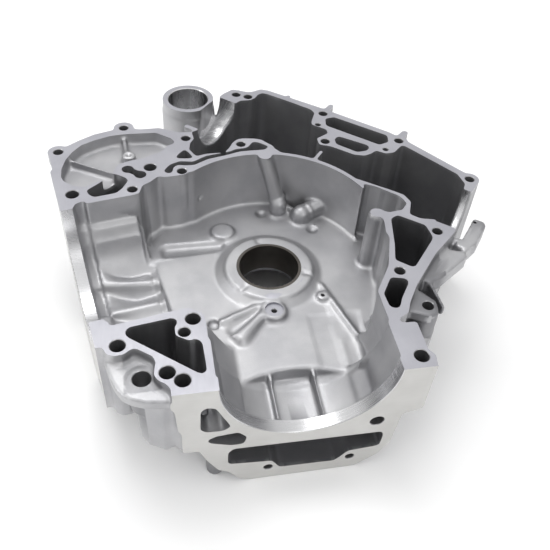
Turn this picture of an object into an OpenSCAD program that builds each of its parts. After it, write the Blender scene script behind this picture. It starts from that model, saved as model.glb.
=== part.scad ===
/* [Main planes] */
// Height of the split face above the thrust face of the main bearing
split_z = 41; // [40:0.5:43]
// Distance from the crank axis to each cylinder deck
deck_d = 127; // [126:0.5:129]
// Angle between the two cylinder axes
v_angle = 79; // [78:0.5:80]
// Level of the crank chamber floor
floor_z = -5; // [-6:0.5:-4]
// Level of the lowest edges, on which the casting stands
base_z = -56; // [-60:1:-54]

/* [Walls] */
// Thickness of the chamber wall
wall_t = 3.2; // [2.5:0.1:4]
// Thickness of the floors
floor_t = 6; // [4:0.5:8]
// Radius of the corners of cast outlines
corner_r = 1.5; // [1:0.25:2]

/* [Crank chamber] */
// Inner radius of the crank chamber
chamber_r = 74; // [73:0.5:75]

/* [Main bearing] */
// Diameter of the bearing seat in the casting
seat_d = 45; // [43:0.5:47]
// Outer diameter of the thrust ring around the seat
thrust_d = 61.5; // [58:0.5:64]
// Width of the three oil grooves across the thrust ring
groove_w = 3.5; // [3:0.5:5]
// Depth of the oil grooves
groove_t = 1; // [0.5:0.25:1.5]
// Level of the lower end of the bearing boss
boss_end_z = -26; // [-30:1:-25]
// Wall thickness of the bearing bush
bush_t = 2; // [1.5:0.25:3]
// Length of the bearing bush
bush_len = 22; // [16:1:24]

/* [Cylinder mouths] */
// Radius of the machined half bore for the cylinder spigot
spigot_r = 49.5; // [49:0.25:50]
// Length of the machined half bore behind the deck
spigot_len = 8; // [6:0.5:9]
// Radius of the cast half round behind the front bore
skirt_front_r = 50.5; // [50.25:0.25:51]
// Radius of the cast half round behind the left bore
skirt_left_r = 51.5; // [51:0.5:52.5]
// Radius of the pockets between the skirt ribs
pocket_r = 57; // [55:0.5:58]
// Step from the half round out to the channel behind it
channel_step = 1; // [0.5:0.25:2]
// Step from the chamber floor down to the floor of each mouth
mouth_step = 0.5; // [0.25:0.25:1]
// Width of the skirt ribs
skirt_rib_w = 3; // [2:0.5:4]
// Depth of each deck block behind its machined face
deck_block_t = 32; // [30:1:34]
// Depth of the pockets in the deck face
deck_pocket_t = 26; // [18:1:28]
// Diameter of the two lower holes in each deck face
deck_hole_d = 5.5; // [4:0.5:7]
// Depth of the holes in the deck face
deck_hole_t = 20; // [12:1:26]

/* [Output shaft] */
// Radius of the shaft saddle beside the breather tube
saddle_back_r = 23.5; // [22:0.5:24.5]
// Radius of the shaft saddle on the right side
saddle_right_r = 22; // [20:0.5:22.5]

/* [Gear compartment] */
// Level of the gear compartment floor
gear_floor_z = -50; // [-51:1:-46]
// Depth of the short slot in the slot block
slot_short_t = 26; // [16:1:40]

/* [Breather tube] */
// Outer diameter of the machined band of the tube
tube_d = 40; // [38:0.5:42]
// Bore of the tube
tube_bore_d = 31; // [28:0.5:33]
// Height of the machined band
tube_band_h = 8; // [6:0.5:10]
// Length of the tube
tube_len = 66; // [50:1:80]

/* [Bolt holes] */
// Diameter of the bolt holes in the split face
bolt_d = 6.7; // [5.5:0.1:7.5]
// Diameter of the long bolt holes in the split face
long_bolt_d = 8.5; // [7.5:0.1:9.5]
// Diameter of the small tapped holes
tap_d = 4.2; // [3:0.1:5]
// Depth of the holes in the split face
hole_t = 30; // [22:1:34]
// Wall around the holes
hole_wall = 3; // [2.5:0.25:4]

/* [Cover plate] */
// Thickness of the plate and its ears
ear_t = 10; // [8:0.5:12]
// Depth of the shallow recess
recess_t = 9; // [7:0.5:10]
// Thickness of the recess floor
recess_floor_t = 5; // [4:0.5:8]
// Height of the rib across the recess
recess_rib_h = 6; // [3:0.5:7]
// Level of the bottom of the window and the slot beside the recess
window_z = -5; // [-10:1:10]

/* [Lugs] */
// Level of the top of the left lug and the right ear
lug_z = 34; // [32:0.5:35]
// Thickness of the left lug and the right ear
lug_t = 7; // [6:0.5:8]
// Level of the underside of the body below the left lug
lug_body_z = -18; // [-24:1:-14]
// Bore of the threaded hole in the left lug
lug_bore_d = 10.2; // [8:0.1:11]
// Depth of the threaded hole
lug_bore_t = 22; // [14:1:30]
// Bore of the right ear
ear_bore_d = 7; // [6:0.1:8]
// Depth of the bore in the right ear
ear_bore_t = 20; // [14:1:21]
// Level of the shelf along the right side
shelf_z = 12; // [8:1:13]

/* [Chamber floor] */
// Diameter of the tapped boss in front of the main bearing
oil_boss_d = 14; // [12:0.5:15]
// Diameter of the round pad behind the main bearing
pad_d = 17; // [14:0.5:19]
// Height of the bosses and ribs on the floor
floor_rib_h = 2.5; // [1.5:0.25:3.5]

/* [Hidden] */
$fn = 48;

over = 1;
// Shortfall of a strip's straight sides against its round ends, which keeps them from being tangent
ease = 0.05;
alloy = "#b4b4b8";
bearing_grey = "#4a4642";

// Direction of the output shaft, and a point of its axis in each saddle
shaft_turn = 140.5;
saddle_back_at = [-26, 131.5];
saddle_right_at = [130, -1];
tube_at = [-41, 154];

// Centres of the bolt holes in the split face
bolt_at = [[-138, 90], [-92, 116.5], [-47.5, 99], [-2, 157], [-8, 88], [7, 153], [62.5, 123.5],
    [55.5, 86], [112, 81.5], [149, 30], [-88, 42.5], [-53.5, 59.5], [106, -21.5], [70, -54], [-64, -86]];
// Centres of the long bolt holes in the split face
long_bolt_at = [[-75, 66], [-127, 41], [-58.5, -77], [-100, -91], [-75, -112], [-67.5, -118], [62, -119]];
// Centres of the small tapped holes in the slot block
tap_at = [[55, 108.5], [98.5, 71.5]];
// Centres of the holes in the left lug, the right ear and the tab beside the right saddle
lug_bore_at = [-88.5, -109.5];
ear_bore_at = [81.5, -78];
tab_bore_at = [140, -7.5];

// Outlines in the split plane, with the crank axis at the origin
left_shoulder = [[-79, 16], [-83.5, 38], [-81, 46], [-76, 49], [-70, 55], [-66, 53.5], [-56, 54.5],
    [-50, 57], [-40, 60], [-40, 20]];
right_shoulder = [[40, -50], [50, -72], [51.5, -69], [64.5, -48.5], [72.5, -24], [70, 0], [40, 0]];
scoop = [[70, 33], [79, 28], [92, 16.5], [93.5, 13], [94.5, 8], [89.5, 2], [80, 0.5], [70, 5]];
gear_room = [[-35.5, 110.5], [-42.5, 106], [-41.5, 98], [-45, 92], [-46, 85], [-50, 85], [-58, 74.5],
    [-45, 73.5], [-41, 76], [-35, 78], [-21, 79], [-17, 84], [-14, 90], [-10, 94], [-6, 95], [3, 94],
    [8, 92], [12, 87], [15, 84], [16, 80], [21, 73], [50, 45], [68, 38], [87.5, 24], [95.5, 17.5],
    [98, 9.5], [93, -3], [99, -8], [117, -12], [141, 20.5], [143.5, 25], [142, 36.5], [115, 73.5],
    [56, 124], [54, 130], [39.5, 142.5], [23, 156], [19, 157.5], [15, 155], [13, 151], [8, 147.5],
    [0, 147.5], [-4.5, 143.5], [-12, 139.5]];
gear_outer = [[-45, 104], [-30, 122], [-20, 140], [-18, 152], [-12, 159], [-4, 165], [7.5, 160], [11, 160],
    [19, 163.5], [25, 161], [62, 132], [108, 93], [119, 79], [147.5, 38.5], [156, 28], [145.5, 16],
    [116.5, -24.5], [99, -28], [80, -8], [55, 20], [25, 60], [-20, 62], [-45, 55], [-66, 56], [-62, 90]];
slot_block = [[50, 109], [51, 113.5], [58, 130], [66, 130], [112, 91], [117, 80], [104, 67], [97, 66],
    [91, 70.5], [85, 66.5], [80, 65], [73, 67], [58, 79], [50, 82], [50, 90], [60, 96], [60, 101]];
slot_long = [[62.5, 116], [70, 117.5], [105, 89], [103.5, 80.5], [95.5, 77.5], [61, 106.5]];
slot_short = [[67, 91.5], [63, 87.5], [63, 81.5], [76, 70], [84, 71], [87, 75], [86, 78]];
oil_groove = [[-66, 61], [-61, 68], [-54, 71], [-45, 69.5], [-35, 75.5], [-22, 78], [-16, 80], [-13, 82],
    [-6, 82.5], [-3, 84], [1, 90], [5, 89], [12, 83], [9, 79.5], [-3, 79], [-10, 78.5], [-16, 76.5],
    [-22, 74.5], [-34, 71.5], [-44, 65.5], [-50, 65.5], [-56, 66.5], [-59, 64], [-60, 59], [-61, 57.5],
    [-65, 58]];
web = [[60, 0], [58, -24], [55, -50], [46, -69], [44, -74], [44, -98], [56, -98], [58, -91], [64.5, -88],
    [68.5, -79.5], [77, -66.5], [97.5, -42], [116.5, -24.5], [117, -12], [99, -8], [94, -2], [96, 2],
    [98, 9], [95, 17], [87, 24], [80, 30]];
web_front = [[44, -90], [58, -91], [56, -96.5], [57, -104], [59, -108.5], [66, -114], [70, -119.5],
    [68, -130], [44, -130]];
web_pocket_back = [[79, -6], [84.5, -3], [100, -15], [101, -26.5], [99.5, -29.5], [81, -51.5], [79, -52],
    [70, -44.5], [74, -30.5]];
web_pocket_front = [[62.5, -59], [69.5, -60.5], [72.5, -61.5], [72, -65], [64.5, -76], [61, -83],
    [58.5, -84], [55, -82], [54.5, -71.5]];
vee = [[-122, -60], [-64, -60], [-59.5, -69], [-53, -73], [-51, -79], [-44, -85], [-44, -130], [-69.5, -130],
    [-70, -125.5], [-73, -124], [-76, -119.5], [-80, -116.5], [-82, -113], [-81.5, -109], [-80.5, -104.5],
    [-82, -100.5], [-90, -94.5], [-92.5, -94], [-97, -97.5], [-102, -98], [-106, -96], [-108, -91],
    [-118, -91]];
vee_pocket = [[-94, -79], [-96, -82], [-95, -85.5], [-58.5, -115], [-56.5, -115.5], [-54.5, -114],
    [-55, -95.5], [-56, -93], [-58.5, -91.5], [-62, -92.5], [-69, -88], [-69, -82], [-67.5, -79.5],
    [-67, -77], [-69.5, -75]];
cover_outer = [[-120, 14], [-135, 19], [-144, 64], [-141, 70], [-145, 90], [-132, 96.5], [-124.5, 102.5],
    [-113.5, 109.5], [-102, 113.5], [-92, 116], [-80, 113.5], [-66, 114], [-52, 107], [-40, 106],
    [-38, 99], [-42, 90], [-47, 86], [-51, 85.5], [-58.5, 74.5], [-50, 70], [-40, 50], [-60, 45], [-70, 15]];
cover_base = [[-120, 14], [-135, 19], [-140, 44], [-124, 50], [-104, 63], [-98, 72], [-80, 76], [-60, 76],
    [-50, 66], [-40, 50], [-60, 45], [-70, 15]];
cover_recess = [[-135, 60.5], [-135, 69], [-132.5, 80.5], [-128.5, 88.5], [-122.5, 96.5], [-113, 102],
    [-102, 106.5], [-92.5, 108], [-69, 108], [-58.5, 100], [-56, 96], [-57, 92.5], [-61, 91], [-66, 84],
    [-79, 77], [-88, 75], [-97, 71], [-102, 58], [-119, 48], [-127, 50], [-133, 55.5]];
cover_window = [[-118, 44], [-116.5, 39.5], [-113, 36.5], [-98.5, 39.5], [-94.5, 44], [-90.5, 52],
    [-91.5, 55], [-99.5, 61], [-102, 58]];
lug = [[-118, -66], [-116, -82], [-110.5, -86], [-108, -94], [-105.5, -105], [-103, -112], [-99.5, -118],
    [-95, -121.5], [-87.5, -124.5], [-80, -125.5], [-66, -126.2], [-60, -100], [-70, -66]];
lug_body = [[-94, -90], [-94, -101], [-92.5, -112], [-88, -118.5], [-79, -123], [-75, -121.5],
    [-71.5, -120.5], [-60, -120], [-58, -95]];
right_shelf = [[96, -30], [112, -27], [108, -38], [99, -54], [95, -66], [91, -78], [83, -89], [74, -97],
    [60, -97], [60, -80], [80, -50]];
ear = [[66, -77], [74, -64], [81.5, -65.5], [88, -75], [86.5, -84.5], [80, -86.5], [69, -81.5]];
gusset = [[84, -50], [100, -30], [109, -28.5], [123, -34.5], [122.5, -39], [98, -56], [88, -58]];
tab = [[118, -28], [128, -14], [137, -9], [140.5, -3], [146.5, -7.5], [147, -11], [136, -25], [124, -34]];

// Outlines of the machined deck faces, seen from outside, with the split face on top
front_face = [[-74, 41], [-72, 7], [-64, -5], [-62, -14], [-56.5, -28], [-50, -40], [-44, -43.5],
    [-37.5, -53], [-31.5, -56], [35.5, -56], [49, -45], [55, -31], [57, -2.5], [67.5, 0.5], [69, 3.5],
    [67, 41]];
left_face = [[-70, 41], [-70, 7], [-64, -5], [-62, -14], [-56.5, -28], [-50, -40], [-44, -43.5],
    [-37.5, -53], [-31.5, -56], [15, -56], [36, -30], [58, -3], [63, 5], [65, 41]];
face_pocket_side = [[-59.5, 23], [-57, 26.5], [-51.5, 25], [-43, 5.5], [-48, 2.5], [-57, 3], [-60, 6]];
face_pocket_leaf = [[-57.5, -6], [-51.5, -2.5], [-39, -1], [-34, -6.5], [-35.5, -13.5], [-43, -13.5],
    [-54.5, -9]];
face_pocket_low = [[-44.5, -22], [-41.5, -18], [48, -19.5], [49, -24], [48.5, -35], [29, -37], [24.5, -43],
    [21.5, -46.5], [-13, -45.5], [-18, -37], [-44.5, -34.5]];

// Rounds every corner of an outline, outer and inner
module soft(r = corner_r) {
    offset(r, $fn = 16) offset(-2 * r, $fn = 16) offset(r, $fn = 16) children();
}

// Solid with a plan outline between two levels
module between(low, high) {
    translate([0, 0, low]) linear_extrude(high - low) children();
}

// Straight strip with round ends, in plan
module strip(a, b, w) {
    translate(a) circle(d = w);
    translate(b) circle(d = w);
    translate(a) rotate(atan2(b[1] - a[1], b[0] - a[0])) translate([0, ease - w / 2])
        square([norm(b - a), w - 2 * ease]);
}

module at_each(places) {
    for (p = places) translate([p[0], p[1], 0]) children();
}

// Places what is drawn for the front cylinder at the left one
module at_left() {
    rotate(-v_angle) children();
}

// Lying cylinder on the axis of the front cylinder bore, from one distance to another
module bore_along(r, near, far) {
    translate([0, -near, split_z]) rotate([90, 0, 0]) rotate(90) cylinder(r = r, h = far - near);
}

// Lying cylinder on the output shaft's axis, centred at a point in plan
module saddle(at, r, len) {
    translate([at[0], at[1], split_z]) rotate(shaft_turn) rotate([0, -90, 0])
        cylinder(r = r, h = len, center = true);
}

// Block behind a cylinder deck, with the outline of its machined face
module deck_block(face) {
    translate([0, deck_block_t - deck_d, 0]) rotate([90, 0, 0])
        linear_extrude(deck_block_t) polygon(face);
}

// Round underside of the room behind a cylinder mouth, up to a level
module mouth_shell(top) {
    intersection() {
        bore_along(pocket_r + wall_t, 30, deck_d - 2);
        translate([-200, -200, base_z]) cube([400, 400, top - base_z]);
    }
}

// Half round room behind one cylinder mouth, with pockets between its ribs
module mouth_room(skirt_r, ribs, first, last, reach) {
    bore_along(spigot_r, deck_d - spigot_len - over, deck_d + over);
    bore_along(skirt_r, reach, deck_d - spigot_len);
    intersection() {
        bore_along(pocket_r, 30, reach + over);
        translate([-skirt_r - channel_step, -reach - over, floor_z - mouth_step])
            cube([2 * (skirt_r + channel_step), reach, split_z - floor_z + mouth_step + over]);
    }
    edges = concat([first], [for (x = ribs) each [x - skirt_rib_w / 2, x + skirt_rib_w / 2]], [last]);
    intersection() {
        bore_along(pocket_r, reach, deck_d - spigot_len - 1.5);
        for (i = [0:2:len(edges) - 1]) translate([edges[i], -deck_d, base_z])
            cube([edges[i + 1] - edges[i], deck_d, split_z - base_z - 8]);
    }
}

// Everything in front of a machined deck plane
module deck_plane() {
    translate([-100, -deck_d - 20, base_z - over]) cube([200, 20, split_z - base_z + 2 * over]);
}

// Pockets and holes in the front deck face
module deck_openings() {
    rotate([90, 0, 0]) {
        translate([0, 0, deck_d - deck_pocket_t]) linear_extrude(deck_pocket_t + over) {
            soft() polygon(face_pocket_side);
            soft() polygon(face_pocket_leaf);
            soft() polygon(face_pocket_low);
        }
        translate([0, 0, deck_d - deck_hole_t]) linear_extrude(deck_hole_t + over) {
            translate([42.5, -7]) circle(d = long_bolt_d);
            for (x = [-20, 31]) translate([x, -44]) circle(d = deck_hole_d);
        }
    }
}

module chamber_plan() {
    circle(chamber_r);
    polygon(left_shoulder);
    polygon(right_shoulder);
}

module chamber_shell() {
    between(floor_z - floor_t, split_z) {
        circle(chamber_r + wall_t);
        offset(wall_t, $fn = 16) polygon(left_shoulder);
        offset(wall_t, $fn = 16) polygon(scoop);
    }
    between(base_z, floor_z) circle(chamber_r + wall_t);
}

// Open hollow under the chamber floor, around the bearing boss
module under_room() {
    between(base_z - over, floor_z - floor_t) circle(chamber_r - wall_t);
}

module bearing_boss() {
    between(boss_end_z, floor_z) circle(d = thrust_d + 3 * wall_t);
}

module gear_shell() {
    between(base_z, split_z) {
        soft() polygon(gear_outer);
        translate(saddle_back_at) rotate(shaft_turn) translate([-6, -27]) square([12, 54]);
        for (p = [[-2, 157], [62.5, 123.5], [149, 30], [112, 81.5]])
            translate(p) circle(d = bolt_d + 2 * hole_wall + 1);
        strip([66, 128], [71.5, 134], 4);
        strip([112, 84], [120, 91.5], 5);
        strip([37, 147], [40, 151], 3);
    }
}

module gear_cuts() {
    between(gear_floor_z, split_z + over) difference() {
        soft() polygon(gear_room);
        polygon(slot_block);
        circle(chamber_r + wall_t);
        strip([-47.5, 84.5], [-42.5, 74], 2.5);
        strip([41, 62], [49.5, 73], 2.5);
    }
    between(gear_floor_z, split_z + over) soft() polygon(slot_long);
    between(split_z - slot_short_t, split_z + over) soft() polygon(slot_short);
    between(split_z - 16, split_z + over) polygon(oil_groove);
    saddle(saddle_back_at, saddle_back_r, 16);
    saddle(saddle_right_at, saddle_right_r, 20);
}

module breather_tube() {
    translate([tube_at[0], tube_at[1], split_z - tube_len]) {
        cylinder(d = tube_d + 1.6, h = tube_len - tube_band_h);
        cylinder(d = tube_d, h = tube_len);
    }
    between(split_z - tube_len, 10) strip(tube_at, saddle_back_at, tube_d - 8);
}

module cover_plate() {
    between(split_z - ear_t, split_z) {
        polygon(cover_outer);
        for (p = [[-138, 90], [-92, 116.5]]) translate(p) circle(d = bolt_d + 2 * hole_wall + 2);
    }
    between(split_z - recess_t - recess_floor_t, split_z - over) offset(2, $fn = 16) polygon(cover_recess);
    between(-20, split_z) polygon(cover_base);
}

module cover_cuts() {
    between(split_z - recess_t, split_z + over) difference() {
        soft() polygon(cover_recess);
        translate([-89.5, 85]) circle(5);
    }
    between(window_z, split_z + over) {
        soft() polygon(cover_window);
        strip([-90.5, 65], [-82, 58], 5.5);
        translate([-90.5, 65]) circle(4.2);
        translate([-82, 58]) circle(4.2);
    }
    between(split_z - recess_t, split_z + over) translate([-89.5, 85]) circle(d = 3);
    translate([-89.5, 85, split_z - 2]) cylinder(r = 6, h = 2 + over);
}

module cover_ribs() {
    between(split_z - recess_t - over, split_z - recess_t + recess_rib_h) {
        strip([-130, 84], [-99.5, 65.5], 2);
        strip([-92.5, 108], [-91, 88], 3);
    }
}

// Lug beside the left deck, with a groove around its rim, and the body that carries it
module left_lug() {
    between(lug_z - lug_t, lug_z - 4) polygon(lug);
    between(lug_z - 4.5, lug_z - 2) offset(-1, $fn = 16) polygon(lug);
    between(lug_z - 2.5, lug_z) polygon(lug);
    between(lug_z - lug_bore_t - 2, lug_z + 0.5) translate(lug_bore_at) circle(d = lug_bore_d + 5);
    between(lug_body_z, lug_z - lug_t + over) polygon(lug_body);
    between(base_z, -30) translate([-51, -116]) circle(5.5);
}

// Ear, ribbed bracket, lying boss and tab along the right side
module right_lugs() {
    between(-16, shelf_z) polygon(right_shelf);
    between(shelf_z - over, lug_z - lug_t + over) translate(ear_bore_at) circle(d = ear_bore_d + 8);
    between(lug_z - lug_t, lug_z) soft() polygon(ear);
    between(22, lug_z - 1) polygon(gusset);
    translate([90, -54, 0]) rotate(-72) rotate([90, 0, 0]) linear_extrude(2.5, center = true)
        polygon([[-4, shelf_z - over], [-4, lug_z - 1.5], [0, lug_z - 1.5], [20, 24], [20, 18],
            [10, shelf_z - over]]);
    translate([110, -17, lug_z - 6]) rotate(-20) rotate([0, 90, 0]) cylinder(r = 5, h = 26);
    between(20, lug_z - 0.5) polygon(tab);
}

module main_bearing() {
    difference() {
        union() {
            between(floor_z - over, 0) circle(d = thrust_d);
            translate([0, 0, floor_z]) cylinder(d1 = thrust_d + 12, d2 = thrust_d - 2, h = -floor_z - 1);
        }
        for (a = [-22, 98, 222]) rotate(a) translate([0, -groove_w / 2, -groove_t])
            cube([thrust_d, groove_w, groove_t + over]);
    }
}

// Bosses, ribs and domes on the chamber floor
module floor_forms() {
    low = floor_z - over;
    high = floor_z + floor_rib_h;
    between(low, high) {
        translate([-3, -39]) circle(d = oil_boss_d);
        translate([32, -29]) circle(d = 8);
        translate([-27, 43]) circle(d = pad_d);
        strip([-10, -31], [-30, -40], 3);
        strip([-12, -44], [-32, -56], 3);
    }
    between(low, floor_z + 1) strip([33.5, -17], [47, -68], 2);
    between(low, split_z - 1) translate([71, 1]) circle(5.5);
    translate([17.5, 61, low]) cylinder(d = 13, h = 9);
    translate([17.5, 61, low + 9]) sphere(6.5);
    translate([18.5, 66, low + 6]) multmatrix([[1, 0, -0.2, 0], [0, 1, 0.2, 0], [0, 0, 1, 0]])
        cylinder(r1 = 7.5, r2 = 2.5, h = 38);
    translate([35, 52, floor_z + 3]) sphere(8.5);
    translate([35, 52, floor_z + 3]) rotate(38) rotate([0, 80, 0]) cylinder(r = 7.5, h = 22);
}

module floor_cuts() {
    between(floor_z - 4, floor_z + 8) {
        translate([-43, -43]) circle(4);
        strip([28, 65], [36, 62], 6);
    }
    between(floor_z - 2, floor_z + 2) {
        polygon([[-70, 33.5], [-27, 33.5], [-31, 25], [-72, 22]]);
        translate([4.5, 61.5]) circle(3.5);
        translate([40, 40]) circle(3.5);
    }
    between(floor_z - 4, split_z) {
        translate([-3, -39]) circle(d = 3.4);
        translate([32, -29]) circle(d = 2.6);
    }
    translate([-38, 57, 14]) rotate([-90, 0, 34]) cylinder(d = 3.6, h = 14);
}

module mass() {
    chamber_shell();
    mouth_shell(split_z - 20);
    at_left() mouth_shell(split_z - 25);
    gear_shell();
    deck_block(front_face);
    at_left() deck_block(left_face);
    between(-20, split_z) polygon(web);
    between(1, split_z) polygon(web_front);
    between(-16, split_z) polygon(vee);
    cover_plate();
    left_lug();
    right_lugs();
    breather_tube();
}

module rooms() {
    between(floor_z, split_z + over) {
        chamber_plan();
        polygon(scoop);
    }
    mouth_room(skirt_front_r, [-14, 13], -33, 33, 92);
    at_left() {
        mouth_room(skirt_left_r, [-20, 3], -42, 44, 77);
        translate([40, -117, 8]) cube([15.5, 50, split_z]);
    }
    gear_cuts();
    cover_cuts();
}

module drillings() {
    between(-10, split_z + over) {
        soft() polygon(web_pocket_back);
        soft() polygon(web_pocket_front);
        soft() polygon(vee_pocket);
    }
    between(split_z - hole_t, split_z + over) {
        at_each(bolt_at) circle(d = bolt_d);
        at_each(long_bolt_at) circle(d = long_bolt_d);
        at_each(tap_at) circle(d = tap_d);
    }
    between(boss_end_z - over, over) circle(d = seat_d);
    between(lug_z + 0.5 - lug_bore_t, lug_z + over) translate(lug_bore_at) circle(d = lug_bore_d);
    between(lug_z - ear_bore_t, lug_z + over) translate(ear_bore_at) circle(d = ear_bore_d);
    between(lug_z - 10, lug_z + over) translate(tab_bore_at) circle(d = 2.5);
    between(split_z - tube_len - over, split_z + over) translate(tube_at) circle(d = tube_bore_d);
}

module crankcase_casting() {
    color(alloy) difference() {
        union() {
            difference() {
                mass();
                rooms();
                under_room();
            }
            bearing_boss();
            main_bearing();
            floor_forms();
            cover_ribs();
        }
        deck_plane();
        at_left() deck_plane();
        deck_openings();
        floor_cuts();
        drillings();
    }
}

module main_bearing_bush() {
    color(bearing_grey) difference() {
        between(-bush_len, 0) circle(d = seat_d);
        between(-bush_len - over, over) circle(d = seat_d - 2 * bush_t);
    }
}

crankcase_casting();
main_bearing_bush();
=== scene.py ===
"""Looks of a cast crankcase half: a blended cast skin, machined faces cut into it, finishes and a studio."""
import logging
import math
from dataclasses import dataclass
from enum import Enum
from typing import Callable, Sequence

import bpy
import numpy as np
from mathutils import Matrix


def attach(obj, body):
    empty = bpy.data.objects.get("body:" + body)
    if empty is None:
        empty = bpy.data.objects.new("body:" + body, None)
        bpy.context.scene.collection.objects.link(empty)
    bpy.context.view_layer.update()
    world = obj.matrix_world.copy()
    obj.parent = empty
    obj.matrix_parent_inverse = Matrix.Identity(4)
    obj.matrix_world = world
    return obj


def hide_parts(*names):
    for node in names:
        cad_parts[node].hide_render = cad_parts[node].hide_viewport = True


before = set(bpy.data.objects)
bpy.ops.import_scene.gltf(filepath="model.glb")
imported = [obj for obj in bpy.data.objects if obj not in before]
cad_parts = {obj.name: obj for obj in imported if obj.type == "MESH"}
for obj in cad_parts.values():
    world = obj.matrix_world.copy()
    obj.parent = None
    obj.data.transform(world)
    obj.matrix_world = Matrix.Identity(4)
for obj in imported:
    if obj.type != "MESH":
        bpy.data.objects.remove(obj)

import openvdb
from mathutils import Matrix, Vector

MM = 0.001
LOG = logging.getLogger("crankcase")
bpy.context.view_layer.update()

Distance = Callable[[np.ndarray, np.ndarray, np.ndarray], np.ndarray]
Point = tuple[float, float, float]
Colour = tuple[float, float, float]
Solid = tuple[np.ndarray, list[tuple[int, ...]]]


class Finish(Enum):
    """Surface finishes, in the order of the casting's material slots."""

    CAST = 0
    MILLED = 1
    DECK = 2
    BORED = 3
    DRILLED = 4


@dataclass(frozen=True)
class Planes:
    """Main planes of the casting, in millimetres from the crank axis and the thrust face."""

    split: float = 41.0
    deck: float = 127.0
    v_angle: float = 79.0
    floor: float = -5.0
    base: float = -56.0

    def left_out(self) -> np.ndarray:
        """Outward direction of the left deck, the front one turned by the angle between the cylinders."""
        turn = math.radians(-90.0 - self.v_angle)
        return np.array([math.cos(turn), math.sin(turn), 0.0])


PLANES = Planes()
FRONT_OUT = np.array([0.0, -1.0, 0.0])
BOX_FACES = [(3, 2, 1, 0), (4, 5, 6, 7), (0, 1, 5, 4), (1, 2, 6, 5), (2, 3, 7, 6), (3, 0, 4, 7)]


def smooth_min(a: np.ndarray, b: np.ndarray, reach: float) -> np.ndarray:
    """Lower of two distances, with a rounded inner corner.

    Formula: the linear mix of both by their difference over the reach, less a bump of reach * h * (1 - h).

    Args:
        a: First distance.
        b: Second distance.
        reach: Size of the blend in millimetres.

    Returns:
        The blended distance.
    """
    h = np.clip(0.5 + 0.5 * (b - a) / reach, 0.0, 1.0)
    return b + (a - b) * h - reach * h * (1.0 - h)


def tapered(start: Point, end: Point, r_start: float, r_end: float) -> Distance:
    """Distance to a round-ended rod whose radius runs evenly from one end to the other.

    Args:
        start: Centre of the first end.
        end: Centre of the second end.
        r_start: Radius at the first end.
        r_end: Radius at the second end.

    Returns:
        A function of x, y and z.
    """
    a, b = np.array(start), np.array(end)
    along = b - a

    def distance(x: np.ndarray, y: np.ndarray, z: np.ndarray) -> np.ndarray:
        """Distance to the nearest point of the centre line, less the radius there."""
        t = ((x - a[0]) * along[0] + (y - a[1]) * along[1] + (z - a[2]) * along[2]) / (along @ along)
        t = np.clip(t, 0.0, 1.0)
        gap = (x - a[0] - t * along[0]) ** 2 + (y - a[1] - t * along[1]) ** 2 + (z - a[2] - t * along[2]) ** 2
        return np.sqrt(gap) - (r_start + (r_end - r_start) * t)

    return distance


def upright(x0: float, y0: float, radius: float, low: float, high: float) -> Distance:
    """Distance to an upright cylinder: the greater of the distances to its side and its ends."""

    def distance(x: np.ndarray, y: np.ndarray, z: np.ndarray) -> np.ndarray:
        """Greater of the side and end distances."""
        side = np.hypot(x - x0, y - y0) - radius
        return np.maximum(side, np.maximum(z - high, low - z))

    return distance


def lying(out: np.ndarray, radius: float, near: float, far: float) -> Distance:
    """Distance to a cylinder that lies in the split plane along a direction from the crank axis."""

    def distance(x: np.ndarray, y: np.ndarray, z: np.ndarray) -> np.ndarray:
        """Greater of the side and end distances."""
        along = x * out[0] + y * out[1]
        across = x * out[1] - y * out[0]
        side = np.hypot(across, z - PLANES.split) - radius
        return np.maximum(side, np.maximum(along - far, near - along))

    return distance


def collar(centre: Point, axis: Point, radius: float, thick: float) -> Distance:
    """Distance to a ring about an axis: the gap to its centre circle, less its own radius."""
    way = np.array(axis) / np.linalg.norm(axis)

    def distance(x: np.ndarray, y: np.ndarray, z: np.ndarray) -> np.ndarray:
        """Gap to the circle, from the height along the axis and the distance from it."""
        dx, dy, dz = x - centre[0], y - centre[1], z - centre[2]
        height = dx * way[0] + dy * way[1] + dz * way[2]
        away = np.sqrt(np.maximum(dx * dx + dy * dy + dz * dz - height * height, 0.0))
        return np.hypot(away - radius, height) - thick

    return distance


def trough(turn: np.ndarray, start: np.ndarray, crease: np.ndarray, end: np.ndarray,
           power: float) -> np.ndarray:
    """Depth of a trough, from zero to one.

    Formula: the lower of a rise from the start to the crease, a power of a sine, and an even fall to the end.

    Args:
        turn: Angle about the axis in degrees.
        start: Angle at which the trough begins.
        crease: Angle of its deepest line.
        end: Angle at which it ends.
        power: Power of the rise.

    Returns:
        The depth.
    """
    rise = np.clip((turn - start) / (crease - start), 0.0, 1.0)
    fall = np.clip((end - turn) / (end - crease), 0.0, 1.0)
    return np.minimum(np.sin(0.5 * np.pi * rise) ** power, fall)


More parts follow.
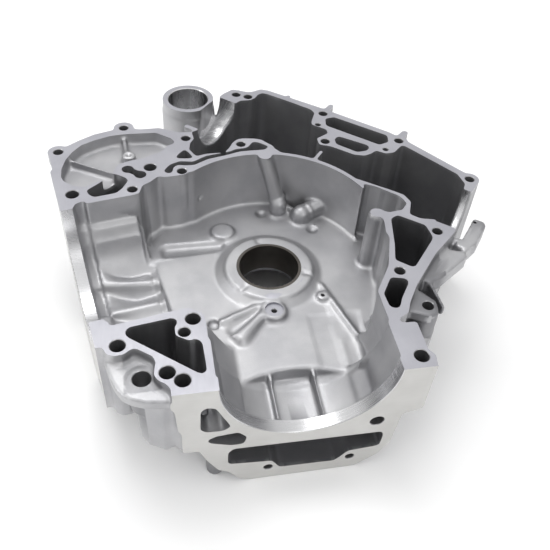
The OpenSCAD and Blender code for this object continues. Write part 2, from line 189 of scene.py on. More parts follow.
class Skin:
    """Distance field of the casting on a regular grid, in millimetres."""

    def __init__(self, mesh: bpy.types.Mesh, voxel: float, band: float, margin: float) -> None:
        """Samples the distance to a closed mesh.

        Args:
            mesh: Closed mesh in metres.
            voxel: Grid step in millimetres.
            band: Depth to which the distance is kept.
            margin: Free space around the mesh.
        """
        points = np.empty(len(mesh.vertices) * 3, np.float32)
        mesh.vertices.foreach_get("co", points)
        points = points.reshape(-1, 3) / MM
        mesh.calc_loop_triangles()
        triangles = np.empty(len(mesh.loop_triangles) * 3, np.int32)
        mesh.loop_triangles.foreach_get("vertices", triangles)
        self.voxel = voxel
        self.band = band
        transform = openvdb.createLinearTransform(voxelSize=voxel)
        grid = openvdb.FloatGrid.createLevelSetFromPolygons(
            points, triangles=triangles.reshape(-1, 3).astype(np.uint32), transform=transform,
            halfWidth=band / voxel)
        self.low = np.floor((points.min(0) - margin) / voxel).astype(int)
        high = np.ceil((points.max(0) + margin) / voxel).astype(int)
        self.values = np.full(tuple(high - self.low + 1), band, np.float32)
        grid.copyToArray(self.values, ijk=tuple(int(v) for v in self.low))

    def axis(self, number: int, part: slice = slice(None)) -> np.ndarray:
        """Coordinates along one axis, in millimetres, shaped to broadcast."""
        line = ((np.arange(self.values.shape[number]) + self.low[number]) * self.voxel)[part]
        shape = [1, 1, 1]
        shape[number] = -1
        return line.reshape(shape).astype(np.float32)

    def window(self, low: Point, high: Point) -> tuple[slice, slice, slice]:
        """Slices of the grid that cover a box."""
        first = np.maximum(np.floor(np.array(low) / self.voxel).astype(int) - self.low, 0)
        last = np.minimum(np.ceil(np.array(high) / self.voxel).astype(int) - self.low + 1, self.values.shape)
        return tuple(slice(int(a), int(b)) for a, b in zip(first, last))

    def join(self, shape: Distance, low: Point, high: Point, blend: float, carve: bool = False) -> None:
        """Adds a shape to the solid, or takes it away, with a rounded corner.

        Args:
            shape: Distance function of the shape.
            low: Lowest corner of the box in which the shape acts.
            high: Highest corner of that box.
            blend: Size of the rounded corner.
            carve: True to take the shape away.
        """
        part = self.window(low, high)
        own = self.values[part]
        other = np.clip(shape(self.axis(0, part[0]), self.axis(1, part[1]), self.axis(2, part[2])),
                        -self.band, self.band)
        if carve:
            self.values[part] = -smooth_min(-own, other, blend)
        else:
            self.values[part] = smooth_min(own, other, blend)

    def rod(self, start: Point, end: Point, r_start: float, r_end: float, blend: float,
            carve: bool = False) -> None:
        """Adds or carves a tapered rod, within a box just larger than it."""
        reach = max(r_start, r_end) + blend + 2.0 * self.voxel
        ends = np.array([start, end])
        self.join(tapered(start, end, r_start, r_end), tuple(ends.min(0) - reach), tuple(ends.max(0) + reach),
                  blend, carve)

    def fill_column(self, x: float, y: float, radius: float, low: float, high: float) -> None:
        """Fills an upright column, before a drill is put through it."""
        self.join(upright(x, y, radius, low, high), (x - radius - 1, y - radius - 1, low - 1),
                  (x + radius + 1, y + radius + 1, high + 1), 0.1)

    def run_past_planes(self, inside: float = 1.5, front_half: float = 80.0, left_half: float = 75.0) -> None:
        """Carries the section just inside each machined plane outwards, so that its edges stay square.

        Formula: beyond a plane, each value is the one at the nearest point on the plane moved inside.

        Args:
            inside: How far inside the planes the sections are taken.
            front_half: Half width of the front deck's field.
            left_half: Half width of the left deck's field.
        """
        z_last = int(round((PLANES.split - inside) / self.voxel)) - self.low[2]
        self.values[:, :, z_last:] = self.values[:, :, z_last:z_last + 1]
        y_last = int(round((inside - PLANES.deck) / self.voxel)) - self.low[1]
        front = np.abs(self.axis(0)[:, :, 0]) < front_half
        for row in range(y_last):
            self.values[:, row, :] = np.where(front, self.values[:, y_last, :], self.values[:, row, :])
        out = PLANES.left_out()
        part = self.window((-160.0, -110.0, PLANES.base - 8), (-100.0, 50.0, PLANES.split + 8))
        x, y = self.axis(0, part[0])[:, :, 0], self.axis(1, part[1])[:, :, 0]
        along = x * out[0] + y * out[1]
        across = x * out[1] - y * out[0]
        beyond = (along > PLANES.deck - inside) & (along < PLANES.deck + 8) & (np.abs(across) < left_half)
        rows, columns = np.nonzero(beyond)
        shift = (along - (PLANES.deck - inside))[rows, columns]
        at_x = (x[rows, 0] - shift * out[0]) / self.voxel - self.low[0]
        at_y = (y[0, columns] - shift * out[1]) / self.voxel - self.low[1]
        i, j = np.floor(at_x).astype(int), np.floor(at_y).astype(int)
        u, v = (at_x - i)[:, None], (at_y - j)[:, None]
        cells = self.values
        section = ((1 - u) * (1 - v) * cells[i, j] + u * (1 - v) * cells[i + 1, j]
                   + (1 - u) * v * cells[i, j + 1] + u * v * cells[i + 1, j + 1])
        self.values[part[0].start + rows, part[1].start + columns] = section

    def blurred(self, sigma: float) -> np.ndarray:
        """The field after a Gaussian blur along each axis in turn.

        Args:
            sigma: Width of the blur in millimetres.

        Returns:
            A new array.
        """
        steps = int(math.ceil(2.5 * sigma / self.voxel))
        weights = np.exp(-0.5 * (np.arange(-steps, steps + 1) * self.voxel / sigma) ** 2)
        weights = (weights / weights.sum()).astype(np.float32)
        result = self.values
        for number in range(3):
            padding = [(0, 0)] * 3
            padding[number] = (steps, steps)
            padded = np.pad(result, padding, mode="edge")
            total = np.zeros_like(self.values)
            length = self.values.shape[number]
            for k, weight in enumerate(weights):
                piece = [slice(None)] * 3
                piece[number] = slice(k, k + length)
                total += weight * padded[tuple(piece)]
            result = total
        return result

    def cast_rounding(self, fillet: float, edge: float, held_back: float = 0.12) -> None:
        """Fills inner corners more than it rounds outer ones, as a sand core does.

        Formula: the lower of the field and its wide blur, then a narrow blur.

        Args:
            fillet: Width of the wide blur.
            edge: Width of the narrow blur.
            held_back: Share of the fillet by which the wide blur is held back from flat faces.
        """
        self.values = np.minimum(self.values, self.blurred(fillet) + held_back * fillet)
        self.values = self.blurred(edge)

    def surface(self, name: str) -> bpy.types.Object:
        """Makes a mesh object of the zero surface, with nothing thinned.

        Args:
            name: Name of the object.

        Returns:
            The new object.
        """
        grid = openvdb.FloatGrid(self.band)
        grid.copyFromArray(self.values, ijk=tuple(int(v) for v in self.low), tolerance=0.0)
        grid.transform = openvdb.createLinearTransform(voxelSize=self.voxel)
        points, triangles, quads = grid.convertToPolygons(0.0, 0.0)
        faces = [tuple(f) for f in triangles.tolist()] + [tuple(f) for f in quads.tolist()]
        mesh = bpy.data.meshes.new(name)
        mesh.from_pydata((np.asarray(points) * MM).tolist(), [], faces)
        mesh.update()
        made = bpy.data.objects.new(name, mesh)
        bpy.context.scene.collection.objects.link(made)
        return made


def turned(name: str, profile: Sequence[tuple[float, float]], origin: Point, axis: Point,
           segments: int = 48) -> Solid:
    """A closed solid of revolution.

    Formula: each profile point (radius, height) makes a ring at that height along the axis, and the two
    ends close at a pole.

    Args:
        name: Name used in the log.
        profile: Radii and heights in millimetres, from the lower end to the upper end.
        origin: Where height zero lies.
        axis: Direction of rising height.
        segments: Points in a ring.

    Returns:
        Points in metres and faces.
    """
    LOG.debug("turned %s", name)
    way = Vector(axis).normalized()
    side = way.orthogonal().normalized()
    other = way.cross(side)
    angle = np.linspace(0.0, 2.0 * math.pi, segments, endpoint=False)
    circle = np.outer(np.cos(angle), np.array(side)) + np.outer(np.sin(angle), np.array(other))
    rings = np.array([[r * circle[k] + np.array(way) * h for k in range(segments)] for r, h in profile])
    points = [np.array(way) * profile[0][1], *rings.reshape(-1, 3), np.array(way) * profile[-1][1]]
    top = len(points) - 1
    faces: list[tuple[int, ...]] = []
    for k in range(segments):
        n = (k + 1) % segments
        faces.append((0, 1 + n, 1 + k))
        for ring in range(len(profile) - 1):
            a = 1 + ring * segments
            faces.append((a + k, a + n, a + segments + n, a + segments + k))
        last = 1 + (len(profile) - 1) * segments
        faces.append((top, last + k, last + n))
    return (np.array(points) + np.array(origin)) * MM, faces


def box_over(base: Sequence[tuple[float, float]], low: float, high: float) -> Solid:
    """A closed box over four base points, which run anticlockwise.

    Args:
        base: The four corners seen from above.
        low: Lowest level.
        high: Highest level.

    Returns:
        Points in metres and faces.
    """
    return np.array([[x, y, z] for z in (low, high) for x, y in base]) * MM, list(BOX_FACES)


def slab(out: np.ndarray, near: float, half: float, low: float, high: float, thick: float = 25.0) -> Solid:
    """A closed box that starts at a plane square to a level direction.

    Args:
        out: Direction away from the crank axis.
        near: Distance of the plane from the axis.
        half: Half width of the box.
        low: Lowest level.
        high: Highest level.
        thick: How far the box reaches beyond the plane.

    Returns:
        Points in metres and faces.
    """
    side = np.array([-out[1], out[0], 0.0])
    far = near + thick
    base = [(out * d + side * s)[:2] for d, s in ((near, -half), (far, -half), (far, half), (near, half))]
    return box_over(base, low, high)


@dataclass(frozen=True)
class Hole:
    """One drilled hole in the split face or below it, in millimetres."""

    x: float
    y: float
    diameter: float
    top: float = PLANES.split
    depth: float = 30.0
    chamfer: float = 0.4

    def cutter(self) -> Solid:
        """Flat-ended drill with a small countersink at the mouth."""
        r = self.diameter / 2
        wide = r + self.chamfer
        profile = [(r, -self.depth), (r, -self.chamfer), (wide, 0.0), (wide, 3.0)]
        return turned("drill", profile, (self.x, self.y, self.top), (0, 0, 1), 32)


@dataclass(frozen=True)
class Drillings:
    """Every upright drilled hole of the casting, in millimetres."""

    bolt: float = 6.7
    long_bolt: float = 8.5
    tap: float = 4.2
    bolts: tuple = ((-92, 116.5), (-47.5, 99), (-2, 157), (-8, 88), (7, 153), (62.5, 123.5), (55.5, 86),
                    (112, 81.5), (149, 30), (-88, 42.5), (-53.5, 59.5), (106, -21.5), (70, -54), (-64, -86),
                    (-138, 90))
    long_bolts: tuple = ((-75, 66), (-127, 41), (-58.5, -77), (-100, -91), (-75, -112), (-67.5, -118),
                         (62, -119))
    taps: tuple = ((55, 108.5), (98.5, 71.5))
    others: tuple[Hole, ...] = (Hole(-88.5, -109.5, 10.2, 34.5, 22.0), Hole(81.5, -78, 7.0, 34.0, 20.0),
                                Hole(140, -7.5, 2.5, 33.5, 9.5), Hole(-3, -39, 3.4, -2.5, 6.5),
                                Hole(32, -29, 2.6, -2.5, 6.5))

    def holes(self) -> list[Hole]:
        """All upright holes: those of the split face in three sizes, and the others."""
        sizes = ((self.bolt, self.bolts), (self.long_bolt, self.long_bolts), (self.tap, self.taps))
        return [Hole(x, y, diameter) for diameter, places in sizes for x, y in places] + list(self.others)


class Cutting:
    """Machining of the casting: solids taken from it, each leaving its own finish."""

    def __init__(self, body: bpy.types.Object, finishes: dict[Finish, bpy.types.Material]) -> None:
        """Keeps the body and its finishes."""
        self.body = body
        self.finishes = finishes

    def take(self, name: str, parts: Sequence[Solid], finish: Finish) -> None:
        """Takes closed solids that don't touch each other from the body.

        Args:
            name: Name of the operation.
            parts: Points and faces of each solid.
            finish: Finish of the faces left behind.
        """
        points: list = []
        faces: list = []
        for part_points, part_faces in parts:
            start = len(points)
            points += part_points.tolist()
            faces += [tuple(i + start for i in f) for f in part_faces]
        mesh = bpy.data.meshes.new(name)
        mesh.from_pydata(points, [], faces)
        mesh.update()
        cutter = bpy.data.objects.new(name, mesh)
        bpy.context.scene.collection.objects.link(cutter)
        for one in Finish:
            mesh.materials.append(self.finishes[one])
        mesh.polygons.foreach_set("material_index", np.full(len(mesh.polygons), finish.value, np.int32))
        change = self.body.modifiers.new(name, "BOOLEAN")
        change.operation = "DIFFERENCE"
        change.solver = "MANIFOLD"
        change.object = cutter
        apply_modifiers(self.body)
        bpy.data.objects.remove(cutter)
        bpy.data.meshes.remove(mesh)
        LOG.info("cut %s: %d faces", name, len(self.body.data.polygons))


def apply_modifiers(thing: bpy.types.Object) -> None:
    """Puts the result of an object's modifiers into its mesh."""
    graph = bpy.context.evaluated_depsgraph_get()
    made = bpy.data.meshes.new_from_object(thing.evaluated_get(graph), preserve_all_data_layers=True,
                                           depsgraph=graph)
    old = thing.data
    thing.modifiers.clear()
    thing.data = made
    made.name = thing.name
    bpy.data.meshes.remove(old)


def ranged(tree: bpy.types.NodeTree, value: bpy.types.NodeSocket, source: tuple[float, float],
           target: tuple[float, float]) -> bpy.types.NodeSocket:
    """Adds a node that carries a value evenly from one range to another.

    Args:
        tree: Node tree of a material or of the world.
        value: Socket that gives the value.
        source: Range of the value.
        target: Range of the result.

    Returns:
        The socket of the result.
    """
    node = tree.nodes.new("ShaderNodeMapRange")
    node.inputs["From Min"].default_value, node.inputs["From Max"].default_value = source
    node.inputs["To Min"].default_value, node.inputs["To Max"].default_value = target
    tree.links.new(value, node.inputs["Value"])
    return node.outputs["Result"]


def noise(tree: bpy.types.NodeTree, place: bpy.types.NodeSocket, scale: float,
          detail: float) -> bpy.types.NodeSocket:
    """Adds a noise texture at a scale per metre, and gives its value."""
    node = tree.nodes.new("ShaderNodeTexNoise")
    node.inputs["Scale"].default_value = scale
    node.inputs["Detail"].default_value = detail
    tree.links.new(place, node.inputs["Vector"])
    return node.outputs["Fac"]


@dataclass(frozen=True)
class Metal:
    """A metal finish, as a node material on Object coordinates."""

    name: str
    colour: Colour
    dark: Colour
    metallic: float
    rough_low: float
    rough_high: float
    grain: float
    bump: float
    stretch: tuple[float, float, float] = (1.0, 1.0, 1.0)
    # Whether the finish darkens its recesses with painted shade from the mesh attribute.
    painted_shade: bool = False
    grain_detail: float = 4.0
    grain_range: tuple[float, float] = (0.3, 0.7)
    grain_height: float = 0.0002
    cloud: float = 35.0
    cloud_detail: float = 3.0
    cloud_range: tuple[float, float] = (0.35, 0.62)
    # Colour multiplied in where the painted shade is full.
    painted_shade_tone: Colour = (0.22, 0.22, 0.235)

    def build(self) -> bpy.types.Material:
        """Makes the material.

        Returns:
            The material: cloudy colour, mottled roughness and a fine grain, with painted shade darkening the
            recesses from the mesh's own attribute where the finish asks for it.
        """
        made = bpy.data.materials.new(self.name)
        made.use_nodes = True
        tree = made.node_tree
        shader = tree.nodes["Principled BSDF"]
        shader.inputs["Metallic"].default_value = self.metallic
        place = tree.nodes.new("ShaderNodeTexCoord").outputs["Object"]
        turn = tree.nodes.new("ShaderNodeMapping")
        turn.inputs["Scale"].default_value = self.stretch
        tree.links.new(place, turn.inputs["Vector"])
        fine = noise(tree, turn.outputs["Vector"], self.grain, self.grain_detail)
        colour = self._clouded(tree, place)
        # Painted shade: the recesses are darkened in the base colour.
        if self.painted_shade:
            colour = self._add_painted_shade(tree, colour)
        tree.links.new(colour, shader.inputs["Base Color"])
        rough = ranged(tree, fine, self.grain_range, (self.rough_low, self.rough_high))
        tree.links.new(rough, shader.inputs["Roughness"])
        bump = tree.nodes.new("ShaderNodeBump")
        bump.inputs["Strength"].default_value = self.bump
        bump.inputs["Distance"].default_value = self.grain_height
        tree.links.new(fine, bump.inputs["Height"])
        tree.links.new(bump.outputs["Normal"], shader.inputs["Normal"])
        return made

    def _clouded(self, tree: bpy.types.NodeTree, place: bpy.types.NodeSocket) -> bpy.types.NodeSocket:
        """Mixes the two colours by a soft, wide noise."""
        cloud = noise(tree, place, self.cloud, self.cloud_detail)
        tint = tree.nodes.new("ShaderNodeMix")
        tint.data_type = "RGBA"
        tint.inputs["A"].default_value = (*self.dark, 1.0)
        tint.inputs["B"].default_value = (*self.colour, 1.0)
        tree.links.new(ranged(tree, cloud, self.cloud_range, (0.0, 1.0)), tint.inputs["Factor"])
        return tint.outputs["Result"]

    def _add_painted_shade(self, tree: bpy.types.NodeTree, colour: bpy.types.NodeSocket) -> bpy.types.NodeSocket:
        """Darkens the colour by the mesh attribute that holds the painted shade of the recesses."""
        reader = tree.nodes.new("ShaderNodeAttribute")
        reader.attribute_name = "painted_shade"
        darker = tree.nodes.new("ShaderNodeMix")
        darker.data_type = "RGBA"
        darker.blend_type = "MULTIPLY"
        darker.inputs["B"].default_value = (*self.painted_shade_tone, 1.0)
        tree.links.new(reader.outputs["Fac"], darker.inputs["Factor"])
        tree.links.new(colour, darker.inputs["A"])
        return darker.outputs["Result"]


FINISHES: dict[Finish, Metal] = {
    # The cast skin takes painted shade in its recesses.
    Finish.CAST: Metal("cast_alloy", (0.50, 0.50, 0.51), (0.41, 0.41, 0.425), 0.92, 0.40, 0.52, 1400.0, 0.35,
                       painted_shade=True),
    Finish.MILLED: Metal("milled_face", (0.44, 0.44, 0.475), (0.39, 0.39, 0.425), 0.7, 0.38, 0.5, 900.0, 0.08,
                         (1.0, 0.15, 1.0)),
    Finish.DECK: Metal("deck_face", (0.62, 0.615, 0.60), (0.56, 0.555, 0.54), 0.5, 0.40, 0.52, 900.0, 0.08,
                       (0.15, 1.0, 1.0)),
    Finish.BORED: Metal("bored_face", (0.66, 0.66, 0.67), (0.58, 0.58, 0.59), 1.0, 0.22, 0.32, 700.0, 0.03,
                        (0.04, 1.0, 0.04)),
    Finish.DRILLED: Metal("drilled_hole", (0.42, 0.42, 0.43), (0.34, 0.34, 0.35), 0.9, 0.3, 0.45, 900.0, 0.1),
}
BUSH_FINISH = Metal("bearing_metal", (0.11, 0.10, 0.09), (0.07, 0.064, 0.058), 0.8, 0.28, 0.42, 700.0, 0.12)


@dataclass(frozen=True)
class Rod:
    """One tapered rod, blended into the cast skin or carved from it, in millimetres."""

    start: Point
    end: Point
    r_start: float
    r_end: float
    blend: float
    carve: bool = False

    def put(self, skin: Skin) -> None:
        """Puts the rod into the skin."""
        skin.rod(self.start, self.end, self.r_start, self.r_end, self.blend, self.carve)


@dataclass(frozen=True)
class Neck:
    """One ring about a dome's neck, in millimetres, with the box in which it acts."""

    centre: Point
    axis: Point
    radius: float
    thick: float
    low: Point
    high: Point
    blend: float = 0.5

    def put(self, skin: Skin) -> None:
        """Puts the ring into the skin."""
        skin.join(collar(self.centre, self.axis, self.radius, self.thick), self.low, self.high, self.blend)


@dataclass(frozen=True)
class ChamberFloor:
    """Soft forms of the chamber floor, and the two ball-headed shapes at its back."""

    chamber_r: float = 74.0
    boss: tuple[float, float] = (-3, -39)
    boss_r: float = 7.5
    boss_top: float = -1.8
    boss_blend: float = 4.0
    relief: tuple[Rod, ...] = (
        Rod((-8, -33, -5.0), (-38, -43, -4.5), 2.4, 2.0, 3.0),
        Rod((-13, -42, -4.5), (-27, -58, -6.5), 3.6, 5.0, 3.0),
        Rod((-14, -38, -3.5), (-32, -50, -3.5), 1.4, 3.2, 2.0, carve=True),
        Rod((33, -18, -5.0), (48, -68, -4.5), 1.1, 1.8, 2.5),
        Rod((48.5, -70, 0.0), (51, -108, 12.0), 2.6, 2.2, 4.0),
        Rod((-68, 29, -2.2), (-30, 30, -2.2), 4.6, 3.4, 3.5, carve=True))
    cleared: tuple[tuple[Point, Point, float], ...] = (
        ((17.5, 62, 2), (12, 71, 40), 9.5),
        ((34.5, 52, -1), (50, 63, 1), 10.5))
    domes: tuple[Rod, ...] = (
        Rod((17.3, 60.8, 1.5), (17.3, 60.8, 3.5), 6.6, 6.4, 0.6),
        Rod((16.3, 64.5, 8), (6.5, 73, 42), 5.9, 4.6, 0.6),
        Rod((33.6, 52.2, -0.5), (34.0, 52.4, -0.5), 7.5, 7.5, 0.6),
        Rod((38, 54, 0.5), (52, 60, 3), 6.0, 7.4, 0.6))
    necks: tuple[Neck, ...] = (
        Neck((39.2, 54.6, 0.7), (0.9, 0.4, 0.15), 6.2, 1.1, (28, 42, -6), (50, 66, 10)),
        Neck((16.4, 64.3, 7.5), (-0.26, 0.22, 1.0), 6.0, 1.0, (6, 54, 2), (27, 76, 14)))
    bridge: Rod = Rod((25, 65, -3), (31, 58, -3), 2.4, 2.4, 1.0)

    def shape_relief(self, skin: Skin) -> None:
        """Blends the soft forms into the floor, as tapered rods, and raises the tapped boss."""
        for rod in self.relief:
            rod.put(skin)
        x, y = self.boss
        skin.join(upright(x, y, self.boss_r, PLANES.floor - 3.0, self.boss_top),
                  (x - 13, y - 13, PLANES.floor - 5.0), (x + 13, y + 13, 3), self.boss_blend)

    def shape_domes(self, skin: Skin) -> None:
        """Makes the two ball-headed shapes.

        Formula: the space over the floor and inside the wall is cleared around each, and balls, tapered
        rods and rings about their necks fill it again.
        """
        for start, end, radius in self.cleared:
            rod = tapered(start, end, radius, radius)

            def space(x: np.ndarray, y: np.ndarray, z: np.ndarray, rod: Distance = rod) -> np.ndarray:
                """Greatest of the rod's, the floor's and the wall's distances."""
                room = np.maximum(PLANES.floor - z, np.hypot(x, y) - self.chamber_r)
                return np.maximum(rod(x, y, z), room)

            skin.join(space, (4, 42, -6), (62, 80, PLANES.split), 0.1, carve=True)
        for form in (*self.domes, *self.necks, self.bridge):
            form.put(skin)


@dataclass(frozen=True)
class LeftMouth:
    """Cast surface of the left mouth: a flat wall, a ledge, and troughs between slanting ribs.

    Formula: about the cylinder axis, the radius is the skirt's plus a bulge in each trough. Around the axis
    a bulge rises as a power of a sine to its crease and falls evenly to the next rib, and along the axis it
    dies out as a sine. Above the ledge the wall is flat.
    """

    near: float = 73.5
    far: float = PLANES.deck - 9.5
    skirt_r: float = 51.5
    wall_gap: float = 52.0
    ledge: float = 19.0
    wall_end: float = 22.0
    depth: float = 5.4
    ring_inner: float = 50.0
    ring_outer: float = 57.6
    ring_top: float = 14.0
    last_turn: float = 112.0
    mm_per_degree: float = 0.8
    rib_half: float = 1.7
    bottom_rib: tuple[float, float] = (88.3, 91.7)
    swell_start: float = 64.0
    swell_length: float = 54.0
    stations: tuple[float, ...] = (68, 76, 91, 101, 108, 116)
    pool_turns: tuple[float, ...] = (60, 62, 62.3, 58.9, 52.8, 47)
    crease_turns: tuple[float, ...] = (74.5, 79.5, 81, 76, 71, 67)

    @staticmethod
    def place(x: np.ndarray, y: np.ndarray, z: np.ndarray) -> tuple[np.ndarray, np.ndarray, np.ndarray]:
        """Distance along the axis, radius about it, and turn from the back of the split plane in degrees."""
        out = PLANES.left_out()
        along = x * out[0] + y * out[1]
        across = x * out[1] - y * out[0]
        return along, np.hypot(across, z - PLANES.split), np.degrees(np.arctan2(PLANES.split - z, across))

    def radius(self, along: np.ndarray, turn: np.ndarray) -> np.ndarray:
        """Radius of the cast surface.

        Args:
            along: Distance along the cylinder axis.
            turn: Angle about that axis.

        Returns:
            The radius in millimetres.
        """
        rib = 73.0 - (along - 71.0) * 0.22
        lip = 33.5 + np.maximum(0.0, 80.0 - along) * 0.7
        pool = np.interp(along, self.stations, self.pool_turns)
        crease = np.interp(along, self.stations, self.crease_turns)
        run = np.clip((along - self.swell_start) / self.swell_length, 0.0, 1.0)
        swell = np.maximum(np.sin(np.pi * run), 0.0)
        flat = self.wall_gap / np.cos(np.radians(np.clip(turn, -5.0, self.ledge)))
        wall = np.maximum(0.0, flat - self.skirt_r) * np.clip((self.wall_end - turn) / 3.0, 0.0, 1.0)
        front, back = self.bottom_rib
        bulge = self.depth * swell ** 0.6 * trough(turn, lip, pool, rib - self.rib_half, 0.75)
        bulge = bulge + self.depth * swell ** 0.5 * trough(turn, rib + self.rib_half, crease, front, 1.0)
        bulge = bulge + self.depth * swell ** 0.5 * trough(turn, back, crease + 22.0, self.last_turn, 1.0)
        return self.skirt_r + wall + bulge

    def filling(self, x: np.ndarray, y: np.ndarray, z: np.ndarray) -> np.ndarray:
        """Ring of metal that the troughs are cut into."""
        along, r, turn = self.place(x, y, z)
        ring = np.maximum(np.maximum(r - self.ring_outer, self.ring_inner - r),
                          np.maximum(self.near + 4 - along, along - self.far))
        return np.maximum(ring, np.maximum(z - self.ring_top, (turn - self.last_turn) * self.mm_per_degree))

    def hollow(self, x: np.ndarray, y: np.ndarray, z: np.ndarray) -> np.ndarray:
        """Room inside the cast surface."""
        along, r, turn = self.place(x, y, z)
        room = np.maximum(r - self.radius(along, turn), np.maximum(self.near - along, along - self.far))
        return np.maximum(room, (turn - self.last_turn) * self.mm_per_degree)

    def shape(self, skin: Skin) -> None:
        """Fills the ring and cuts the room into it."""
        low, high = (-128, -45, -24), (-60, 50, PLANES.split)
        skin.join(self.filling, low, high, 0.1)
        skin.join(self.hollow, low, high, 1.5, carve=True)


@dataclass(frozen=True)
class FrontMouth:
    """Front mouth: the chamber floor carried to the foot of the wall, and three troughs between ribs.

    Formula: each space is the greatest of its own limits, and a sheet under the floor keeps it closed.
    """

    foot_x: float = 49.0
    foot_lean: float = 0.13
    floor_blend: float = 3.0
    trough_r: float = 56.2
    trough_bow: float = 0.0065
    trough_blend: float = 2.5
    troughs: tuple[tuple[float, float], ...] = ((-33.0, -15.5), (-12.5, 11.5), (14.5, 42.5))

    @staticmethod
    def sheet(x: np.ndarray, y: np.ndarray, z: np.ndarray) -> np.ndarray:
        """Metal under the widened floor."""
        return np.maximum(np.maximum(np.abs(x - 40.0) - 9.0, np.abs(y + 70.0) - 18.0), np.abs(z + 7.5) - 2.5)

    def room(self, x: np.ndarray, y: np.ndarray, z: np.ndarray) -> np.ndarray:
        """Space over the widened floor, up to the slanting foot of the wall."""
        foot = x - (self.foot_x + (y + 67.0) * self.foot_lean)
        return np.maximum(np.maximum(foot, 20.0 - x), np.maximum(np.abs(y + 66.0) - 21.0, PLANES.floor - z))

    def trough_between(self, first: float, last: float) -> Distance:
        """Trough between two ribs, which starts at the bowed front edge of the floor."""

        def distance(x: np.ndarray, y: np.ndarray, z: np.ndarray) -> np.ndarray:
            """Greatest of the distances to the round, the ribs and the two ends."""
            ring = np.hypot(x, z - PLANES.split) - self.trough_r
            sides = np.maximum(first - x, x - last)
            ends = np.maximum(y + 85.0 + self.trough_bow * x * x, -116.5 - y)
            return np.maximum(np.maximum(ring, sides), ends)

        return distance

    def shape(self, skin: Skin) -> None:
        """Puts in the sheet, then carves the space over it and the troughs."""
        skin.join(self.sheet, (28, -92, -12), (52, -48, -3), 0.5)
        skin.join(self.room, (18, -90, -6), (56, -42, PLANES.split), self.floor_blend, carve=True)
        for first, last in self.troughs:
            skin.join(self.trough_between(first, last), (first - 2, -119, -18),
                      (last + 2, -82, PLANES.split - 6), self.trough_blend, carve=True)


